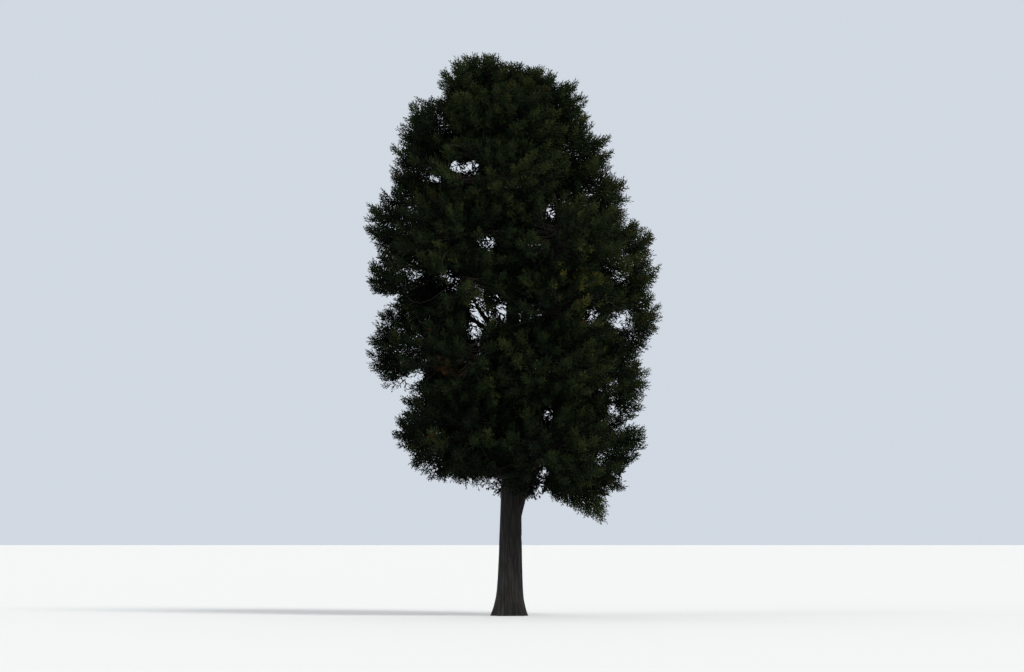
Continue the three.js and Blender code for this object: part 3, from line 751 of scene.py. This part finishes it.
def plumesOf(m, random):
    # branches leave the stem for even directions and end in plumes; the plumes gather in lobes, which
    # stand out where a direction is near a lobe's own and fall back between them
    turn = 2 * np.pi * chance(m["seed"] + rows["turn"], 0)
    direction = goldenBall(plume["branches"], turn)
    direction = unit(direction + random.normal(0, plume["branchJitter"], direction.shape))
    direction = direction[direction @ m["out"] > plume["inward"]]
    n = len(direction)
    lobes = goldenBall(plume["lobes"], turn + 1)
    lobes = unit(lobes + random.normal(0, plume["lobeJitter"], lobes.shape))
    lobe = (direction @ lobes.T).argmax(1)
    # the angle from the lobe's middle, as a share of the half width that evenly spread lobes have
    away = np.arccos(np.clip((direction * lobes[lobe]).sum(1), -1, 1)) * np.sqrt(plume["lobes"]) / 2
    dip = plume["lobeDepth"] * away ** 2 + plume["lobeVary"] * random.uniform(0, 1, len(lobes))[lobe]
    reach = reachIn(m, direction)
    wall = wallIn(m, direction) - masses["seam"] + plume["overlap"]
    room = np.minimum((reach + plume["spill"]) * (1 - dip), wall)
    tip = m["middle"] + direction * room[:, None]
    along = unit(direction + up * masses["uplift"] + plume["lobeSpread"] * (direction - lobes[lobe]))
    size = plume["length"] * (1 + plume["lengthVary"] * random.uniform(-1, 1, n))
    size = np.minimum(size, plume["lengthMost"] * room)
    root = tip - along * size[:, None]
    outward = outwardShare(m, tip)
    deep = (room < plume["cramped"] * reach) & (outward < plume["deep"])
    deep |= (direction @ m["out"] < masses["inward"]) & (outward < plume["shell"])
    origin = stemPoint(m, mix(masses["twigFrom"], masses["twigTo"], (direction[:, 2] + 1) / 2))
    tone = random.normal(0, 1, len(lobes))[lobe]
    return {"origin": origin, "root": root, "along": along, "size": size, "deep": deep,
            "tone": tone, "free": np.zeros(n, bool)}


def loosePlumes(tip, along, length):
    # plumes of one length that may stand out of their mass's rounded space
    n = len(tip)
    size = np.full(n, length)
    return {"root": tip - along * size[:, None], "along": along, "size": size,
            "deep": np.zeros(n, bool), "tone": np.zeros(n), "free": np.ones(n, bool)}


def droopPlumes(random):
    # hanging plumes in a row, their tips going down towards the right, and to and fro in depth
    n = droops["count"]
    t = np.linspace(0, 1, n)
    x = mix(droops["fromX"], droops["toX"], t)
    y = droops["depth"] + droops["spread"] * np.cos(np.arange(n) * droops["sway"])
    z = mix(droops["fromZ"], droops["toZ"], t)
    tip = np.stack([x, y, z], -1)
    along = unit(random.normal(0, droops["stray"], (n, 3)) + droops["way"])
    p = loosePlumes(tip, along, droops["length"])
    p["origin"] = p["root"] + droops["origin"]
    return p


def strayPlumes(m):
    # single plumes at places given one by one, which leave the stem near its top; most masses have none
    own = np.array(strays.get(m["name"], []), float).reshape(-1, 6)
    p = loosePlumes(own[:, :3], unit(own[:, 3:]), plume["length"])
    p["origin"] = stemPoint(m, np.full(len(own), masses["twigTo"]))
    return p


def branchOf(p):
    # from the stem to near the plume's tip, by way of the knee
    return p["origin"], p["knee"], p["root"] + p["along"] * (plume["branchEnd"] * p["size"])[:, None]


def roundGaps(p):
    # a branch that would cross a gap bends over or under it; one that can't is left out with its plume
    n = len(p["size"])
    straight = p["root"] + (p["root"] - p["origin"]) * plume["knee"]
    p["knee"] = straight.copy()
    t = np.linspace(0.1, 1, plume["branchTests"])[None, :, None]
    fullLuck = np.ones((n, plume["branchTests"]))
    blocked = np.ones(n, bool)
    for lift in plume["detours"]:
        knee = straight + up * lift
        a, b, c = branchOf({**p, "knee": knee})
        crosses = inSkyGap(quadratic(a[:, None], b[:, None], c[:, None], t), fullLuck).any(1)
        better = blocked & ~crosses
        p["knee"][better] = knee[better]
        blocked &= crosses
    return {key: p[key][~blocked] for key in p}


def spraysOf(m, p, random):
    # sprays stand up each plume, turned on by the golden angle and opening less towards the tip
    n = len(p["size"])
    count = plume["sprays"]
    k = np.arange(count)[None, :]
    at = mix(plume["from"], plume["to"], (k + 0.5) / count)
    at = at + random.uniform(-plume["shuffle"], plume["shuffle"], (n, count))
    lean = mix(plume["open"], plume["close"], at.clip(0, 1))
    lean = np.radians(lean + random.uniform(-plume["leanVary"], plume["leanVary"], (n, count)))
    angle = k * golden + random.uniform(0, 2 * np.pi, (n, 1))
    side, front = framesAlong(p["along"], p["along"])
    spread = turned(side[:, None], front[:, None], angle[..., None])
    way = np.sin(lean)[..., None] * spread + np.cos(lean)[..., None] * p["along"][:, None]
    way = unit(way + up * plume["lift"])
    length = mix(plume["long"], plume["short"], at.clip(0, 1))
    length = length * random.uniform(*plume["sprayVary"], (n, count))
    foot = p["root"][:, None] + p["along"][:, None] * (at * p["size"][:, None])[..., None]
    length = length * np.where(p["deep"], plume["deepGrowth"], 1)[:, None]
    # a spray that would pass the edge of its mass is shorter by as much as it passes it
    far, reach = fromMiddle(m, foot + way * length[..., None])
    over = (far - reach - plume["spill"]).clip(0) * ~p["free"][:, None]
    length = np.maximum(length - over, plume["shortest"] * length)
    outward = outwardShare(m, foot + way * (length * 0.5)[..., None])
    toShell = (outward - plume["core"]).clip(0) / (plume["shell"] - plume["core"])
    share = mix(plume["coreShare"], 1, toShell)
    share = np.maximum(share, p["free"][:, None])
    luck = random.uniform(size=share.shape)
    kept = np.where(p["deep"][:, None], k % plume["innerEvery"] == 0, luck < share)
    return foot, way, length, kept


def keepInside(m, p, foot, way, length, limbs, luck):
    # true for sprays that keep to the mass's space, off the limbs and out of the sky's gaps
    ok = np.ones(foot.shape[:2], bool)
    for share in plume["tested"]:
        at = foot + way * (length * share)[..., None]
        ok &= ~inSkyGap(at, luck, 1.0 if share else plume["footGrow"])
        far, reach = fromMiddle(m, at)
        inside = far < reach + plume["spill"] + plume["margin"]
        ok &= inside | p["free"][:, None]
        ok &= (at @ m["normals"].T < m["limits"] + plume["overlap"]).all(-1)
        gap = np.linalg.norm(at[..., None, :] - limbs[0], axis=-1) - limbs[1]
        ok &= gap.min(-1) > plume["clear"]
        ok &= at[..., 2] < cadBox[1][2]
    return ok


def dealTints(m, p, foot, way, length, random):
    # painted light and shade: outer, upper, right-hand and sunny sprays get the lighter greens as
    # painted sunlight; deep ones the painted shade's green; tones also differ at random by spray and by
    # lobe
    tip = foot + way * length[..., None]
    far, reach = fromMiddle(m, tip)
    outer = far / reach - tinting["outerFrom"]
    sunX, sunY, sunZ = tinting["sunWay"]
    sunny = sunZ * way[..., 2] + sunX * way[..., 0] + sunY * way[..., 1]
    place = tinting["high"] * (tip[..., 2] - tinting["highFrom"]) + tinting["right"] * tip[..., 0]
    vary = random.normal(0, tinting["vary"], outer.shape)
    # painted light: sprays far out, high up, to the right and facing the sun score higher and get
    # lighter greens, plus random variety
    score = tinting["outer"] * outer + tinting["sunny"] * sunny + place + vary
    score = score + tinting["lobe"] * p["tone"][:, None]
    tint = np.digitize(score, tinting["steps"])
    luck = random.uniform(size=tint.shape)
    facing = tip[..., 1] < patchRule["front"]
    for patch in patches:
        dx = (tip[..., 0] - patch["x"]) / patch["wide"]
        dz = (tip[..., 2] - patch["z"]) / patch["high"]
        chosen = (np.hypot(dx, dz) < 1) & facing & (luck < patchRule["share"]) & (tint > patch["spared"])
        tint = np.where(chosen, tintNames.index(patch["tint"]), tint)
    rusty = (luck > 1 - tinting["rustShare"]) & (tint > tintNames.index("leavesShaded"))
    tint = np.where(rusty, tintNames.index("leavesRust"), tint)
    # painted shade: every spray of a deep plume gets the darkest green
    return np.where(p["deep"][:, None], tintNames.index("leavesShade"), tint)


def fanSprays(foot, way, length, kinds, random):
    # every spray is one kind's corners, turned to its way, rolled at random and scaled to its length
    roll = random.uniform(0, 2 * np.pi, len(foot))
    side, front = framesAlong(way, way)
    across = turned(side, front, roll[:, None])
    out = np.cross(across, way)
    basis = np.stack([across, way, out], 1) * length[:, None, None]
    which = random.integers(0, len(kinds), len(foot))
    points = np.empty((len(foot), len(kinds[0][0]), 3))
    for i, (corners, faces) in enumerate(kinds):
        own = which == i
        points[own] = np.einsum("vk,nkx->nvx", corners, basis[own]) + foot[own, None]
    return points, kinds[0][1]


def makeFoliage(placed, leafMaterials, twigMaterial):
    # one piece of sprays for each tier, and one of all the branches and stems that carry them
    random = np.random.default_rng(plume["seed"])
    kinds = [sprayKind(random) for i in range(shoots["kinds"])]
    limbs = limbSamples(placed)
    pieces = []
    twigParts = []
    for tier in tiers:
        points = []
        which = []
        for m in [m for m in placed if m["tier"] is tier]:
            random = np.random.default_rng([plume["seed"], m["seed"]])
            groups = [plumesOf(m, random), strayPlumes(m)]
            if m["name"] == droops["mass"]:
                groups.append(droopPlumes(random))
            p = {key: np.concatenate([group[key] for group in groups]) for key in groups[0]}
            p = roundGaps(p)
            foot, way, length, kept = spraysOf(m, p, random)
            kept = kept & keepInside(m, p, foot, way, length, limbs, random.uniform(size=kept.shape))
            tint = dealTints(m, p, foot, way, length, random)
            sprays, faces = fanSprays(foot[kept], way[kept], length[kept], kinds, random)
            points.append(sprays)
            which.append(tint[kept])
            busy = kept.sum(1) > plume["fewest"]
            twigParts.append((m, [part[busy] for part in branchOf(p)]))
        points = np.concatenate(points)
        which = np.concatenate(which)
        corners = points.shape[1]
        index = (np.arange(len(points))[:, None, None] * corners + faces).reshape(-1, 3)
        piece = putMesh("foliage_" + tier["name"], points.reshape(-1, 3), [index], leafMaterials,
                        np.repeat(which, len(faces)))
        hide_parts(*["foliage_" + m["name"] for m in placed if m["tier"] is tier])
        pieces.append(piece)
        print("  sprays", len(points), "tints", np.bincount(which, minlength=len(tints)))
    pieces.append(makeTwigs(twigParts, twigMaterial))
    return pieces


twigs = {"branchSides": 3, "branchRings": 7, "stemSides": 5, "stemKnots": 13}


def makeTwigs(twigParts, material):
    # the masses' stems, each in short straight lengths, and the branches that leave them
    points = []
    quads = []
    branchEnds = []
    stemEnds = []
    base = 0
    for m, (a, b, c) in twigParts:
        thick = np.full(len(a), plume["branchBase"])
        thin = np.full(len(a), plume["branchTip"])
        branches = tubes(a, b, c, thick, thin, twigs["branchSides"], twigs["branchRings"])
        t = np.linspace(0, 1, twigs["stemKnots"])
        line = stemPoint(m, t)
        radius = mix(masses["stemBase"], masses["stemTip"], t)
        stem = tubes(line[:-1], (line[:-1] + line[1:]) / 2, line[1:], radius[:-1], radius[1:],
                     twigs["stemSides"], 2)
        for (corners, (sideFaces, endFaces)), ends in [(branches, branchEnds), (stem, stemEnds)]:
            points.append(corners)
            quads.append(sideFaces + base)
            ends.append(endFaces + base)
            base += len(corners)
    faces = [np.concatenate(quads), np.concatenate(branchEnds), np.concatenate(stemEnds)]
    piece = putMesh("twigs", np.concatenate(points), faces, [material], smooth=True)
    return piece


# The camera looks the way the photograph does, from as far away and as high, through a longer lens.
# aim is the height it looks at, aside is how far right it stands, and tall is the height it takes in.
picture = {"aim": 5.95, "aside": 0.05, "tall": 14.3, "wide": 1024, "high": 672, "sensor": 36.0,
           "nearest": 1.0, "furthest": 4000}


def makeCamera():
    data = bpy.data.cameras.new("camera")
    data.sensor_width = picture["sensor"]
    width = picture["tall"] * picture["wide"] / picture["high"]
    data.lens = picture["sensor"] * viewer["distance"] / width
    data.clip_start = picture["nearest"]
    data.clip_end = picture["furthest"]
    camera = bpy.data.objects.new("camera", data)
    camera.location = (picture["aside"], -viewer["distance"], viewer["eye"])
    tilt = np.arctan2(picture["aim"] - viewer["eye"], viewer["distance"])
    camera.rotation_euler = (np.pi / 2 + tilt, 0, 0)
    bpy.context.scene.collection.objects.link(camera)
    bpy.context.scene.camera = camera


# Soft light: a wide sun from the upper right, weak ones from the left and behind, and a pale sky.
# wide, tilt and turn are in degrees.
suns = {
    "sunRight": {"strength": 2.5, "wide": 22, "tilt": 48, "turn": 38},
    "fillLeft": {"strength": 0.8, "wide": 60, "tilt": 62, "turn": -60},
    "fillBack": {"strength": 0.9, "wide": 70, "tilt": 58, "turn": 195},
}
sky = {"colour": (0.84, 0.91, 1.0, 1), "strength": 0.76}
ground = {"reach": 1500.0, "look": {"colour": (0.62, 0.61, 0.58), "roughness": 0.9, "gloss": 0.1}}


def makeSun(name, sun):
    data = bpy.data.lights.new(name, "SUN")
    data.energy = sun["strength"]
    data.angle = np.radians(sun["wide"])
    lamp = bpy.data.objects.new(name, data)
    lamp.rotation_euler = (np.radians(sun["tilt"]), 0, np.radians(sun["turn"]))
    bpy.context.scene.collection.objects.link(lamp)


def makeStudio():
    for name, sun in suns.items():
        makeSun(name, sun)
    world = bpy.data.worlds.new("paleSky")
    bpy.context.scene.world = world
    world.use_nodes = True
    backdrop = world.node_tree.nodes["Background"]
    backdrop.inputs["Color"].default_value = sky["colour"]
    backdrop.inputs["Strength"].default_value = sky["strength"]
    corners = np.array([[-1, -1, 0], [1, -1, 0], [1, 1, 0], [-1, 1, 0]]) * ground["reach"]
    material = makePlain("paleFloor", ground["look"])
    floor = putMesh("floor", corners, [np.array([[0, 1, 2, 3]])], [material])


placed = placeMasses()
shareSpace(placed)
makeCamera()
makeStudio()
barkMaterial = makeBark()
# leaf materials: steps of one green from painted shade to painted sunlight, then yellow and rust
leafMaterials = [makePlain(name, {"colour": colour, **leafLook}) for name, colour in tints.items()]
twigMaterial = makePlain("twigBrown", twigLook)

trunkPiece = makeTrunk(barkMaterial)
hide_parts("trunk")
boughPiece = makeBoughs(placed, barkMaterial)
foliagePieces = makeFoliage(placed, leafMaterials, twigMaterial)
for piece in [trunkPiece, boughPiece, *foliagePieces]:
    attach(piece, "root")
bpy.context.scene.view_settings.view_transform = "Standard"

print("cad box", [tuple(round(v, 3) for v in corner) for corner in cadBox])
